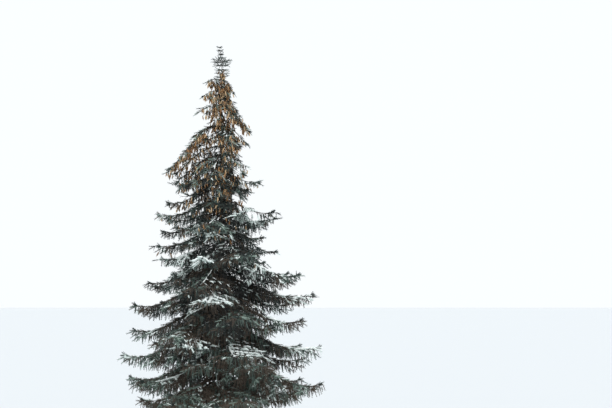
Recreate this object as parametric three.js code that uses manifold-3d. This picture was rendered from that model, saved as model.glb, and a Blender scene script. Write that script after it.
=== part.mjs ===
// A Norway spruce of about 11 m, grown in the open and hung with ripe cones, as a scene graph of named
// solids: one trunk, the bare inner lengths of its lowest boughs, and one mass of foliage for each bough.
// Units are millimetres, +Z is up, and the origin is the middle of the flat cut at ground level.

import * as THREE from "three";
import { mergeVertices } from "three/addons/utils/BufferGeometryUtils.js";
import Module from "manifold-3d";

const wasm = await Module();
wasm.setup();

// The whole tree
const HEIGHT = 11000; // ground to the tip of the leader
const CROWN_RADIUS = 2950; // trunk to the furthest tips, low in the crown
const CROWN_SLOPE = 1.45; // how fast the crown widens below the tip, as a share of its radius
const CROWN_POWER = 1.08;
const CLEARANCE = 0.3; // between any two solids that meet
const SPRAY_GAP = 5; // least distance from a spray to another bough's foliage
// Points of a join nearer than this are merged: the first of these distances that leaves a sound skin
const SMOOTHING = [1.5, 1, 2, 0.6, 2.5, 0.3];
const TRIMMING = 0.15; // the same for points that the cut round the trunk leaves
const SAME_POINT = 1e-3; // two points nearer than this are one

// Trunk
const TRUNK_TOP = 10200; // the leader's own shoots stand above it
const TRUNK_RADIUS = 135; // at the ground, without the root flare
const TRUNK_TIP_RADIUS = 14;
const TRUNK_TAPER = 0.86;
const FLARE_WIDTH = 78;
const FLARE_HEIGHT = 190; // over which the flare falls to about a third
const ROOT_LOBES = 5;
const LOBE_DEPTH = 0.24;
const TRUNK_SIDES = 12;
const TRUNK_RINGS = 14;
const RING_POWER = 1.9; // crowds the rings into the root flare
const WANDER = new THREE.Vector2(26, 18); // how far the trunk strays from a plumb line, in X and Y
const WANDER_LENGTH = new THREE.Vector2(5300, 6900);

// Boughs stand in tiers of four, or of three at the top and the bottom. Each tier has the height of
// its foot on the trunk, and the reach and the tip height of its right and left boughs.
const TIERS = [
  { foot: 10080, right: [380, 9640], left: [500, 9990] },
  { foot: 9740, right: [440, 9180], left: [640, 9520] },
  { foot: 9350, right: [880, 8560], left: [800, 9130] },
  { foot: 8800, right: [760, 8290], left: [860, 8430] },
  { foot: 8230, right: [720, 7420], left: [1420, 7500] },
  { foot: 7520, right: [1130, 7330], left: [1400, 7180] },
  { foot: 6800, right: [1610, 6430], left: [1860, 6430] },
  { foot: 6080, right: [1540, 5400], left: [1830, 5520] },
  { foot: 5400, right: [2290, 4750], left: [2150, 4560] },
  { foot: 4740, right: [2720, 4230], left: [2420, 3940] },
  { foot: 4080, right: [2420, 3540], left: [2600, 3260] },
  { foot: 3400, right: [2890, 2790], left: [2760, 2640] },
  { foot: 2700, right: [2930, 1880], left: [2880, 1950] },
  { foot: 2040, right: [2080, 1560], left: [2280, 1480] },
];
const TRIPLE_TIERS = 4; // the top tiers and the last one have three boughs
const ARCHED_TIERS = 5; // boughs of the top tiers arch down under their cones
const LIMB_TIERS = 2; // the lowest tiers have lost the foliage of their inner lengths
const LIMB_SHARE = 0.3; // the bare share of those boughs
const PLACES = ["right", "back", "left", "front"];
const TURN = THREE.MathUtils.degToRad(19); // tiers are turned by this to either side in turn
const TURN_JITTER = THREE.MathUtils.degToRad(9);
const FRONT_REACH = [0.9, 1.04]; // reach of front and back boughs over the crown's radius
const STAGGER = [0.3, 0.62]; // how far they stand below the others, over the gap to the next tier
const FALL_JITTER = [0.8, 1.15]; // how far their tips fall, over the fall of the others

// The line of a bough
const ARCH = { start: 0.2, end: -0.8 }; // slopes of a cone-laden bough
const SICKLE = { start: -0.26, end: 0.36 }; // slopes of a lower bough, which ends in an upturned tip
const START_HANDLE = 0.38;
const END_HANDLE = 0.33;
const SWERVE = 0.07;

// Stems and limbs
const STEM_ROOT = 0.0105; // radius over the bough's length, on top of ROOT_RADIUS
const ROOT_RADIUS = 4;
const STEM_TIP_RADIUS = 5;
const STEM_END = 0.86; // where the terminal spray takes over
const STEM_SEGMENTS = [2, 5]; // on the shortest and on the longest boughs
const LIMB_SIDES = 8;
const LIMB_SEGMENTS = 3;
const LIMB_SWELL = [1.7, 1.15]; // radius of a bare limb at its root and its end, over the stem's

// Sprays: side twigs with hanging branchlets drawn as teeth
const SPRAY_COUNT = [3, 7]; // on the shortest boughs and on those past FULL_LENGTH
const FULL_LENGTH = 2600;
const FIRST_SPRAY = 0.11;
const LAST_SPRAY = 0.84;
const BARE_MARGIN = 0.06; // from the end of a bare limb to the first spray
const SPRAY_ANGLE = [72, 40]; // degrees off the bough, from its foot to its tip
const SPRAY_SHARE = 0.56; // length of the longest side twig over the bough's length
const SPRAY_POWER = 0.75; // how side twigs shorten towards the bough's tip
const SPRAY_JITTER = [0.85, 1.1];
const SPRAY_DROOP = 0.16;
const TERMINAL_START = 0.78;
const TOOTH_LENGTH = 440; // of side twig that one pair of teeth stands for
const TEETH = [2, 3]; // fewest and most pairs on a spray
const HANG = [330, 820]; // length of hanging branchlets, at the top and the bottom of the crown
const HANG_JITTER = [0.85, 1.15];
const TERMINAL_HANG = 0.5; // the same for the branchlets under a bough's end, over HANG
const HANG_TAPER = [1.2, 0.65]; // how far the branchlets hang at a bough's foot and at its tip, over HANG
const TOOTH_TAPER = 0.6; // by how much the last branchlets of a spray are shorter than its first
const HANG_SPREAD = 0.4; // how far they stand out sideways, over how far they hang
const RIB_THICKNESS = 0.02; // half thickness of a side twig at its foot, over its length
const LEAST_RIB = 8;
const RIB_TAPER = 0.65;
const RIB_WIDTH = 0.4; // half width of a side twig's underside, over RIB_THICKNESS
const RIB_DEPTH = 1.5; // how far its underside hangs below its middle
const TOOTH_FORWARD = 0.66; // where a tooth's tip is between its two ends

// Cones, larger than life so that they stand for pairs
const CONE_LENGTH = 165;
const CONE_RADIUS = 27;
const CONE_SINK = 14; // depth of its foot in the twig
const CONE_SIZES = [0.85, 1.1];
const CONE_SPAN = [0.32, 0.94]; // shares of a bough between which cones hang
const CONES = [2, 2, 2, 2, 2, 1, 1]; // on each bough of the top tiers

// The leader above the trunk's top: its whorls of short shoots and the tufts up its length
const WHORLS = [
  { height: 10270, reach: 200, rise: 10, shoots: 3 },
  { height: 10400, reach: 260, rise: 30, shoots: 3 },
  { height: 10530, reach: 280, rise: 70, shoots: 4 },
  { height: 10700, reach: 120, rise: 50, shoots: 3 },
  { height: 10850, reach: 85, rise: 50, shoots: 3 },
];
const WHORL_TURN = 0.3; // each whorl turns by this share of the angle between its shoots
const WHORL_CLIMB = 8; // each shoot of a whorl stands this much above the one before
const SHOOT_SINK = 4; // how far a shoot starts behind the leader's axis
const LEADER_SIDES = 6;
const LEADER_RIB = 9;
const LEADER_HANG = 80;
const LEADER_CONES = { share: 0.12, radius: 30, size: 0.8, angles: [0.9, 3.7] };

const bark = new THREE.MeshStandardMaterial({ color: 0x5a4a40, roughness: 0.95, metalness: 0 });
const needles = new THREE.MeshStandardMaterial({ color: 0x2f403b, roughness: 0.8, metalness: 0 });

const UP = new THREE.Vector3(0, 0, 1);
const mix = THREE.MathUtils.lerp;

// A repeatable stream of numbers from 0 to 1.
function seeded(seed) {
  let state = (seed * 2654435761) >>> 0;
  return () => {
    state = (state + 0x6d2b79f5) >>> 0;
    let t = Math.imul(state ^ (state >>> 15), state | 1);
    t ^= t + Math.imul(t ^ (t >>> 7), t | 61);
    return ((t ^ (t >>> 14)) >>> 0) / 4294967296;
  };
}

// A closed geometry as a solid that can be joined and cut.
function solidOf(geometry) {
  const bare = geometry.clone();
  bare.deleteAttribute("normal");
  bare.deleteAttribute("uv");
  const merged = mergeVertices(bare, SAME_POINT);
  return new wasm.Manifold(
    new wasm.Mesh({
      numProp: 3,
      vertProperties: new Float32Array(merged.attributes.position.array),
      triVerts: new Uint32Array(merged.index.array),
    }),
  );
}

function geometryOf(solid) {
  const { vertProperties, triVerts } = solid.getMesh();
  return new THREE.BufferGeometry()
    .setAttribute("position", new THREE.BufferAttribute(vertProperties, 3))
    .setIndex(new THREE.BufferAttribute(triVerts, 1));
}

function meshOf(name, solid, material) {
  const geometry = geometryOf(solid);
  geometry.computeVertexNormals();
  const mesh = new THREE.Mesh(geometry, material);
  mesh.name = name;
  return mesh;
}

function crownRadius(height) {
  const below = 1 - height / HEIGHT;
  return CROWN_RADIUS * Math.min(1, CROWN_SLOPE * below ** CROWN_POWER);
}

function trunkAxis(height) {
  return new THREE.Vector3(
    WANDER.x * Math.sin((2 * Math.PI * height) / WANDER_LENGTH.x),
    WANDER.y * Math.sin((2 * Math.PI * height) / WANDER_LENGTH.y),
    height,
  );
}

function trunkRadius(height, angle) {
  const taper = (1 - height / TRUNK_TOP) ** TRUNK_TAPER;
  const flare = Math.exp(-height / FLARE_HEIGHT);
  const lobe = 1 + LOBE_DEPTH * flare * Math.cos(ROOT_LOBES * angle);
  return (mix(TRUNK_TIP_RADIUS, TRUNK_RADIUS, taper) + FLARE_WIDTH * flare) * lobe;
}

// The trunk from a lathe, whose rings are close together in the root flare. Its skin is moved out by grow.
function trunkSolid(grow) {
  const profile = [new THREE.Vector2(0, 0)];
  for (let i = 0; i <= TRUNK_RINGS; i += 1) {
    profile.push(new THREE.Vector2(1, TRUNK_TOP * (i / TRUNK_RINGS) ** RING_POWER));
  }
  profile.push(new THREE.Vector2(0, TRUNK_TOP));
  const geometry = new THREE.LatheGeometry(profile, TRUNK_SIDES);
  geometry.rotateX(Math.PI / 2);
  const position = geometry.attributes.position;
  const point = new THREE.Vector3();
  for (let i = 0; i < position.count; i += 1) {
    point.fromBufferAttribute(position, i);
    const onSkin = Math.hypot(point.x, point.y) > 0.5;
    const angle = Math.atan2(point.y, point.x);
    const radius = onSkin ? trunkRadius(point.z, angle) + grow : 0;
    const middle = trunkAxis(point.z);
    position.setXYZ(
      i,
      middle.x + radius * Math.cos(angle),
      middle.y + radius * Math.sin(angle),
      point.z === TRUNK_TOP ? point.z + grow : point.z,
    );
  }
  return solidOf(geometry);
}

// The place, direction, right hand and upward direction at a share of a curve.
function frameAt(curve, share) {
  const ahead = curve.getTangent(share);
  const right = new THREE.Vector3().crossVectors(ahead, UP).normalize();
  const above = new THREE.Vector3().crossVectors(right, ahead);
  return { middle: curve.getPoint(share), ahead, right, above };
}

// A tapering limb from one share of a curve to another: a cylinder bent along it.
function limbSolid(curve, [from, to], [root, tip], sides, segments) {
  const geometry = new THREE.CylinderGeometry(1, 1, 1, sides, segments);
  const position = geometry.attributes.position;
  const point = new THREE.Vector3();
  for (let i = 0; i < position.count; i += 1) {
    point.fromBufferAttribute(position, i);
    const share = point.y + 0.5;
    const radius = mix(root, tip, share);
    const { middle, right, above } = frameAt(curve, mix(from, to, share));
    middle.addScaledVector(right, point.x * radius).addScaledVector(above, point.z * radius);
    position.setXYZ(i, middle.x, middle.y, middle.z);
  }
  return solidOf(geometry);
}

// A side twig with its hanging branchlets: a three-sided rib with teeth that hang down on each side.
function spraySolid(curve, rib, hang, teeth) {
  const points = [];
  const faces = [];
  const add = (point) => points.push(point) - 1;
  const ring = (index) => {
    const share = index / teeth;
    const { middle, right } = frameAt(curve, share);
    const half = rib * (1 - RIB_TAPER * share);
    const side = (hand) =>
      middle
        .clone()
        .addScaledVector(right, hand * RIB_WIDTH * half)
        .addScaledVector(UP, -RIB_DEPTH * half);
    return { top: add(middle.clone().addScaledVector(UP, half)), sides: [add(side(1)), add(side(-1))] };
  };
  const tooth = (index, hand) => {
    const share = (index + TOOTH_FORWARD) / teeth;
    const { middle, right } = frameAt(curve, share);
    const length = hang * (1 - TOOTH_TAPER * share);
    return add(middle.addScaledVector(right, hand * HANG_SPREAD * length).addScaledVector(UP, -length));
  };
  const apex = add(curve.getPoint(1));
  const rings = Array.from({ length: teeth }, (_, index) => ring(index));
  rings.push({ top: apex, sides: [apex, apex] });
  faces.push([rings[0].top, rings[0].sides[1], rings[0].sides[0]]);
  for (let i = 0; i < teeth; i += 1) {
    const [near, far] = [rings[i], rings[i + 1]];
    [1, -1].forEach((hand, side) => {
      const tip = tooth(i, hand);
      const skin = [
        [near.top, near.sides[side], tip],
        [near.top, tip, far.top],
        [far.top, tip, far.sides[side]],
        [near.sides[side], far.sides[side], tip],
      ];
      faces.push(...skin.map(([a, b, c]) => (hand > 0 ? [a, b, c] : [a, c, b])));
    });
    faces.push([near.sides[1], far.sides[1], far.sides[0]], [near.sides[1], far.sides[0], near.sides[0]]);
  }
  const whole = faces.filter(([a, b, c]) => a !== b && b !== c && a !== c);
  return solidOf(new THREE.BufferGeometry().setFromPoints(points).setIndex(whole.flat()));
}

// A ripe cone that hangs from a point.
function coneSolid(place, size) {
  const profile = [
    [0, -1],
    [0.9, -0.62],
    [0.85, -0.24],
    [0, 0],
  ].map(([radius, height]) => new THREE.Vector2(radius * CONE_RADIUS * size, height * CONE_LENGTH * size));
  const geometry = new THREE.LatheGeometry(profile, 4);
  geometry.rotateX(Math.PI / 2);
  geometry.translate(place.x, place.y, place.z + CONE_SINK);
  return solidOf(geometry);
}

// The curve that a bough follows, from the trunk's axis to its tip.
function boughCurve(bough, random) {
  const outward = new THREE.Vector3(Math.cos(bough.azimuth), Math.sin(bough.azimuth), 0);
  const sideways = new THREE.Vector3(-outward.y, outward.x, 0);
  const foot = trunkAxis(bough.foot);
  const tip = outward.clone().multiplyScalar(bough.reach).setZ(bough.tip);
  const { start, end } = bough.tier < ARCHED_TIERS ? ARCH : SICKLE;
  const near = foot
    .clone()
    .addScaledVector(outward, START_HANDLE * bough.reach)
    .addScaledVector(UP, start * START_HANDLE * bough.reach);
  const far = tip
    .clone()
    .addScaledVector(outward, -END_HANDLE * bough.reach)
    .addScaledVector(UP, -end * END_HANDLE * bough.reach)
    .addScaledVector(sideways, mix(-SWERVE, SWERVE, random()) * bough.reach);
  return new THREE.CubicBezierCurve3(foot, near, far, tip);
}

// Every bough of the tree: its tier and place, its curve, and the random stream that it grows by.
function layOutBoughs() {
  const boughs = [];
  TIERS.forEach((sizes, tier) => {
    const triple = tier < TRIPLE_TIERS || tier === TIERS.length - 1;
    const skipped = triple ? PLACES[tier % 2 ? 1 : 3] : null;
    const fall = (sizes.right[1] + sizes.left[1]) / 2 - sizes.foot;
    const spacing = sizes.foot - (TIERS[tier + 1]?.foot ?? sizes.foot);
    PLACES.forEach((place, quarter) => {
      if (place === skipped) return;
      const random = seeded(16 * tier + quarter + 1);
      const azimuth =
        (quarter * Math.PI) / 2 + (tier % 2 ? TURN : -TURN) + mix(-TURN_JITTER, TURN_JITTER, random());
      const foot = sizes.foot - (sizes[place] ? 0 : spacing * mix(...STAGGER, random()));
      const [reach, tip] = sizes[place] ?? [
        crownRadius(foot + fall) * mix(...FRONT_REACH, random()),
        foot + fall * mix(...FALL_JITTER, random()),
      ];
      const bough = { tier, place, azimuth, foot, reach, tip };
      bough.name = `${String(tier + 1).padStart(2, "0")}_${place}`;
      bough.curve = boughCurve(bough, random);
      bough.length = bough.curve.getLength();
      bough.bare = tier >= TIERS.length - LIMB_TIERS ? LIMB_SHARE : 0;
      bough.random = random;
      boughs.push(bough);
    });
  });
  return boughs;
}

function stemRadius(bough, share) {
  return mix(STEM_ROOT * bough.length + ROOT_RADIUS, STEM_TIP_RADIUS, share);
}

function hangAt(height) {
  return mix(...[...HANG].reverse(), THREE.MathUtils.clamp(height / HEIGHT, 0, 1));
}

// The curve of a side twig that leaves a bough at a share of it, to one hand.
function sprayCurve(bough, share, hand) {
  const { middle, ahead, right } = frameAt(bough.curve, share);
  const angle = THREE.MathUtils.degToRad(mix(...SPRAY_ANGLE, share));
  const heading = ahead
    .clone()
    .multiplyScalar(Math.cos(angle))
    .addScaledVector(right, hand * Math.sin(angle));
  const longest = SPRAY_SHARE * bough.length * mix(...SPRAY_JITTER, bough.random());
  const length = longest * (1 - share) ** SPRAY_POWER;
  const droop = SPRAY_DROOP * length;
  return new THREE.QuadraticBezierCurve3(
    middle,
    middle.clone().addScaledVector(heading, 0.5 * length),
    middle.clone().addScaledVector(heading, length).addScaledVector(UP, -droop),
  );
}

// The end of a bough, as a curve of its own.
function tipCurve(bough) {
  const shares = [TERMINAL_START, mix(TERMINAL_START, 1, 0.5), 1];
  const [a, b, c] = shares.map((share) => bough.curve.getPoint(share));
  const control = b.clone().multiplyScalar(2).addScaledVector(a, -0.5).addScaledVector(c, -0.5);
  return new THREE.QuadraticBezierCurve3(a, control, c);
}

function spraysOf(bough) {
  const first = Math.max(FIRST_SPRAY, bough.bare + BARE_MARGIN);
  const count = Math.round(mix(...SPRAY_COUNT, THREE.MathUtils.clamp(bough.length / FULL_LENGTH, 0, 1)));
  const sprays = [];
  const hang = hangAt(bough.tip);
  for (let i = 0; i < count; i += 1) {
    const share = mix(first, LAST_SPRAY, i / (count - 1));
    const curve = sprayCurve(bough, share, i % 2 ? 1 : -1);
    sprays.push({ curve, hang: hang * mix(...HANG_TAPER, share) * mix(...HANG_JITTER, bough.random()) });
  }
  sprays.push({ curve: tipCurve(bough), hang: TERMINAL_HANG * hang });
  return sprays.map(({ curve, hang: drop }) => {
    const length = curve.getLength();
    const teeth = THREE.MathUtils.clamp(Math.round(length / TOOTH_LENGTH), ...TEETH);
    return spraySolid(curve, Math.max(LEAST_RIB, RIB_THICKNESS * length), drop, teeth);
  });
}

function conesOf(bough) {
  const count = CONES[bough.tier] ?? 0;
  return Array.from({ length: count }, (_, i) => {
    const share = mix(...CONE_SPAN, (i + 0.5 * bough.random()) / count);
    return coneSolid(bough.curve.getPoint(share), mix(...CONE_SIZES, bough.random()));
  });
}

function boxesMeet(a, b) {
  const [p, q] = [a.boundingBox(), b.boundingBox()];
  return [0, 1, 2].every((k) => p.min[k] < q.max[k] + SPRAY_GAP && q.min[k] < p.max[k] + SPRAY_GAP);
}

function isClear(solid, others) {
  return others.every((other) => !boxesMeet(solid, other) || solid.minGap(other, 2 * SPRAY_GAP) > SPRAY_GAP);
}

// The largest single body of a solid: a scrap that a cut left loose is dropped.
function largestBody(solid) {
  return solid.decompose().reduce((a, b) => (a.volume() > b.volume() ? a : b));
}

// Whether a solid has no face without area, and every edge joins just two faces.
function isOneSkin(solid) {
  const faces = mergeVertices(geometryOf(solid), SAME_POINT).index.array;
  const uses = new Map();
  for (let i = 0; i < faces.length; i += 3) {
    const [a, b, c] = faces.slice(i, i + 3);
    if (a === b || b === c || c === a) return false;
    for (const edge of [[a, b], [b, c], [c, a]]) {
      const key = `${Math.min(...edge)} ${Math.max(...edge)}`;
      uses.set(key, (uses.get(key) ?? 0) + 1);
    }
  }
  return [...uses.values()].every((count) => count === 2);
}

// Pieces joined to one body, smoothed, and cut clear of a cutter where there is one.
function joinPieces(pieces, cutter) {
  const whole = wasm.Manifold.union(pieces).asOriginal();
  for (const distance of SMOOTHING) {
    const smooth = whole.simplify(distance);
    const body = largestBody(cutter ? smooth.subtract(cutter).asOriginal().simplify(TRIMMING) : smooth);
    if (isOneSkin(body)) return body;
  }
  throw new Error("a join leaves a skin that touches itself");
}

// The top of the tree: the leader, its whorls of short shoots and the small tufts up its length.
function leaderCurves() {
  const base = trunkAxis(TRUNK_TOP);
  const up = new THREE.LineCurve3(base.clone().setZ(TRUNK_TOP + CLEARANCE), base.clone().setZ(HEIGHT));
  const shoots = WHORLS.flatMap(({ height, reach, rise, shoots: count }, whorl) =>
    Array.from({ length: count }, (_, i) => {
      const angle = (2 * Math.PI * (i + WHORL_TURN * whorl)) / count;
      const out = new THREE.Vector3(reach * Math.cos(angle), reach * Math.sin(angle), 0);
      const start = base
        .clone()
        .setZ(height + WHORL_CLIMB * i)
        .addScaledVector(out, -SHOOT_SINK / reach);
      return new THREE.QuadraticBezierCurve3(
        start,
        start.clone().addScaledVector(out, 0.5),
        start.clone().add(out).addScaledVector(UP, rise),
      );
    }),
  );
  return { up, shoots };
}

function leaderSolid() {
  const { up, shoots } = leaderCurves();
  const geometry = new THREE.ConeGeometry(TRUNK_TIP_RADIUS, HEIGHT - TRUNK_TOP - CLEARANCE, LEADER_SIDES);
  geometry.rotateX(Math.PI / 2);
  const middle = up.getPoint(0.5);
  geometry.translate(middle.x, middle.y, middle.z);
  const stem = solidOf(geometry);
  const sprays = shoots.map((curve) => spraySolid(curve, LEADER_RIB, LEADER_HANG, 1));
  const { share, radius, size, angles } = LEADER_CONES;
  const cones = angles.map((angle) => {
    const out = new THREE.Vector3(radius * Math.cos(angle), radius * Math.sin(angle), 0);
    return coneSolid(up.getPoint(share).add(out), size);
  });
  return joinPieces([stem, ...sprays, ...cones]);
}

function buildTree() {
  const tree = new THREE.Group();
  const trunk = trunkSolid(0);
  const trunkRoom = trunkSolid(CLEARANCE);
  tree.add(meshOf("trunk", trunk, bark));

  const boughs = layOutBoughs();
  const finished = [trunkRoom];
  for (const bough of boughs) {
    const gap = CLEARANCE / bough.length;
    const ends = [bough.bare ? bough.bare + gap : 0, STEM_END];
    const radii = ends.map((share) => stemRadius(bough, share));
    const segments = Math.round(mix(...STEM_SEGMENTS, bough.length / CROWN_RADIUS));
    bough.stem = limbSolid(bough.curve, ends, radii, 3, segments);
    if (bough.bare) {
      const limbRadii = [0, bough.bare].map((share, end) => LIMB_SWELL[end] * stemRadius(bough, share));
      const limb = limbSolid(bough.curve, [0, bough.bare], limbRadii, LIMB_SIDES, LIMB_SEGMENTS);
      const solid = limb.subtract(trunkRoom);
      tree.add(meshOf(`bough_${bough.name}`, solid, bark));
      finished.push(solid);
    }
  }
  const leader = leaderSolid();
  tree.add(meshOf("foliage_leader", leader, needles));
  finished.push(leader);

  for (const bough of boughs) {
    const otherStems = boughs.filter((other) => other !== bough).map((other) => other.stem);
    const others = [...finished.slice(1), ...otherStems];
    const kept = [...spraysOf(bough), ...conesOf(bough)].filter((piece) => isClear(piece, others));
    const mass = joinPieces([bough.stem, ...kept], trunkRoom);
    bough.stem = mass;
    tree.add(meshOf(`foliage_${bough.name}`, mass, needles));
  }
  return tree;
}

export default buildTree();
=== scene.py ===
"""The winter looks of an open-grown Norway spruce: bark, twigs, needles, ripe cones and snow.

The frame gives the trunk, the bare limbs and one solid for each mass of foliage. Each mass is replaced by a
bough that follows the same curve, with finer side twigs, hanging branchlets and needle shoots in the same
reach. All lengths are metres, +Z is up, and the origin is the flat cut under the trunk.
"""

import collections
import functools
import math

import bpy
import numpy as np
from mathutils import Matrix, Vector, noise


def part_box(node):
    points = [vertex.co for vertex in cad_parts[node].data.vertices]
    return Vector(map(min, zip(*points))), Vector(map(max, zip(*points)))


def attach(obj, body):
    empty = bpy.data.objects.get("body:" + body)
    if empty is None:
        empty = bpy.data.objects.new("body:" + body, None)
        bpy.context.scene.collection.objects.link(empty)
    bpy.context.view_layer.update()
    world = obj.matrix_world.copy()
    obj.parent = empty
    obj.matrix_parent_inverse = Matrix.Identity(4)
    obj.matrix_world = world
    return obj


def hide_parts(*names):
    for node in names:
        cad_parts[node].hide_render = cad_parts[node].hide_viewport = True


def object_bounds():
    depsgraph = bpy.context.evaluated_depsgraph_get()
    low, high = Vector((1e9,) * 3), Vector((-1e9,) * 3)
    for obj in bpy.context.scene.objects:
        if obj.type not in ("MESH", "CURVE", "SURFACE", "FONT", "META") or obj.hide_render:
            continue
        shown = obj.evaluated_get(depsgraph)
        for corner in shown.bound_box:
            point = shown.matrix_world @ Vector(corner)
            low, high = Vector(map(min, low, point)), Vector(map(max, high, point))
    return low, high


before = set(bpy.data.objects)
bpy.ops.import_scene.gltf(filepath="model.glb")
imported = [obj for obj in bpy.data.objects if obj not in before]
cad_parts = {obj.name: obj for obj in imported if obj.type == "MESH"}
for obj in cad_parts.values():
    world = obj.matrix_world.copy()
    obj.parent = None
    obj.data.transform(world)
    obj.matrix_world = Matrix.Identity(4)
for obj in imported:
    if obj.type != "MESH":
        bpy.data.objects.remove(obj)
CAD_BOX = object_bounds()

bl_info = {
    "name": "Winter spruce",
    "version": (1, 0, 0),
    "blender": (4, 5, 0),
    "location": "View3D > Sidebar > Spruce",
    "description": "Grows bark, twigs, needles, cones and snow on the frame of a Norway spruce",
    "category": "Add Mesh",
}

# Sizes of the frame
HEIGHT = CAD_BOX[1].z
TRUNK_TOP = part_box("trunk")[1].z
BODY = "root"

# The source's rule for the trunk
TRUNK_RADIUS = 0.135
TRUNK_TIP_RADIUS = 0.014
TRUNK_TAPER = 0.86
FLARE_WIDTH = 0.078
FLARE_HEIGHT = 0.190
ROOT_LOBES = 5
LOBE_DEPTH = 0.24
WANDER = (0.026, 0.018)
WANDER_LENGTH = (5.3, 6.9)

# The source's rule for the boughs: for each tier the height of its foot, then the reach and the height of
# the tip of its right bough and of its left one
TIERS = (
    (10.080, (0.380, 9.640), (0.500, 9.990)),
    (9.740, (0.440, 9.180), (0.640, 9.520)),
    (9.350, (0.880, 8.560), (0.800, 9.130)),
    (8.800, (0.760, 8.290), (0.860, 8.430)),
    (8.230, (0.720, 7.420), (1.420, 7.500)),
    (7.520, (1.130, 7.330), (1.400, 7.180)),
    (6.800, (1.610, 6.430), (1.860, 6.430)),
    (6.080, (1.540, 5.400), (1.830, 5.520)),
    (5.400, (2.290, 4.750), (2.150, 4.560)),
    (4.740, (2.720, 4.230), (2.420, 3.940)),
    (4.080, (2.420, 3.540), (2.600, 3.260)),
    (3.400, (2.890, 2.790), (2.760, 2.640)),
    (2.700, (2.930, 1.880), (2.880, 1.950)),
    (2.040, (2.080, 1.560), (2.280, 1.480)),
)
TRIPLE_TIERS = 4
ARCHED_TIERS = 5
LIMB_TIERS = 2
LIMB_SHARE = 0.3
PLACES = ("right", "back", "left", "front")
TURN = math.radians(19)
TURN_JITTER = math.radians(9)
CROWN_RADIUS = 2.95
CROWN_SLOPE = 1.45
CROWN_POWER = 1.08
FRONT_REACH = (0.9, 1.04)
STAGGER = (0.3, 0.62)
FALL_JITTER = (0.8, 1.15)
ARCH = (0.2, -0.8)
SICKLE = (-0.26, 0.36)
START_HANDLE = 0.38
END_HANDLE = 0.33
SWERVE = 0.07
STEM_ROOT = 0.0105
ROOT_RADIUS = 0.004
STEM_TIP_RADIUS = 0.005
LIMB_SWELL = (1.7, 1.15)
SPRAY_ANGLE = (72.0, 40.0)

# Radii of twigs: at a bough's tip, and at the foot and tip of a side twig, which swells with its length
TWIG_TIP_RADIUS = 0.003
SIDE_TWIG_RADIUS = 0.0035
SIDE_TWIG_SWELL = 0.006
SIDE_TWIG_TIP_RADIUS = 0.002

# Along a bough: points of its stem, droop of its side twigs, where needles and snow begin and where both end,
# and shoots in the tuft at its tip
STEM_POINTS = 12
SIDE_TWIG_DROOP = (0.1, 0.25)
FIRST_NEEDLES = 0.2
FIRST_SNOW = 0.25
LAST_SHARE = 0.97
TIP_SHOOTS = 8

# Branchlets longer than this fork, they catch this share of the snow, and inner twigs droop by this share
FORKED_LENGTH = 0.33
HANGING_FROST = 0.04
INNER_DROOP = 0.3

# The crown is made in four zones, from the top down, so that each piece stays small
ZONES = {"top": range(0, 5), "upper": range(5, 8), "middle": range(8, 11), "low": range(11, 14)}

# Kinds of needle shoot: length and number of needles of a short one, a branchlet, a streamer and a half bare
# one, which a longer shoot turns into deep inside the crown and below this height
SHOOTS = ((0.13, 20), (0.26, 34), (0.44, 52), (0.30, 16))
SHADED_SHOOT = 3
SHADED_LENGTH = 0.2
SHADED_DEPTH = 0.4
SHADED_HEIGHT = 9
SHOOT_SIZES = (0.35, 1.6)
GOLDEN_TURN = 2.39996

# Shoots get shorter from the first of these heights to the second, down to this share
FINE_HEIGHTS = (7.5, 9.8)
FINEST_SHARE = 0.65

# Whorls on the leader: height, reach, rise, number of twigs, cones on each twig and length of shoots
WHORLS = (
    (10.06, 0.13, -0.03, 7, 1.4, 0.090),
    (10.16, 0.13, 0.00, 7, 1.7, 0.090),
    (10.25, 0.13, 0.00, 8, 1.1, 0.085),
    (10.34, 0.13, 0.00, 9, 0.4, 0.085),
    (10.46, 0.18, 0.01, 13, 0.0, 0.085),
    (10.57, 0.21, 0.03, 23, 0.0, 0.090),
    (10.68, 0.06, 0.00, 18, 0.0, 0.080),
    (10.78, 0.06, 0.00, 16, 0.0, 0.080),
    (10.88, 0.06, 0.00, 16, 0.0, 0.075),
    (10.97, 0.05, 0.00, 14, 0.0, 0.070),
)

# The leader leans to the left above this height, by this much at its tip
LEADER_BEND = 10.5
LEADER_LEAN = -0.07

# The top tiers are more open, with one lesser bough for each main one
OPEN_TIERS = 3

# Lesser boughs beside each main one: the turn from it, the drop of the foot as a share of the gap
# between two tiers, and the share of its reach
COMPANIONS = (
    ((0.0, 0.3), (0.35, 0.6), (0.75, 0.93)),
    ((0.4, 0.85), (0.0, 0.5), (0.6, 0.9)),
    ((0.0, 0.4), (0.1, 0.5), (0.5, 0.75)),
)
LAST_SPACING = 0.5

# The tiers with the last of these too, where the crown is most opaque
FULL_TIERS = range(5, 10)

# Lesser boughs on the near side, the left shoulder and the right: azimuth in degrees, foot, reach, height
# of the tip and droop of the side twigs, which is dealt out by this much more or less
DROOP_SPREAD = 0.08
EXTRA_BOUGHS = (
    (-97, 4.65, 2.30, 4.02, -0.05),
    (-76, 3.25, 2.60, 2.66, -0.05),
    (-112, 3.55, 2.45, 2.93, 0.0),
    (172, 7.80, 1.20, 7.15, 0.20),
    (206, 7.65, 1.10, 7.05, 0.20),
    (188, 7.38, 1.15, 6.88, 0.20),
    (166, 7.28, 1.58, 6.74, 0.15),
    (184, 8.80, 1.48, 7.56, 0.20),
    (186, 6.45, 1.62, 5.92, 0.15),
    (-8, 6.02, 1.52, 6.28, 0.10),
    (12, 6.00, 1.15, 5.78, 0.15),
)

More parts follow.
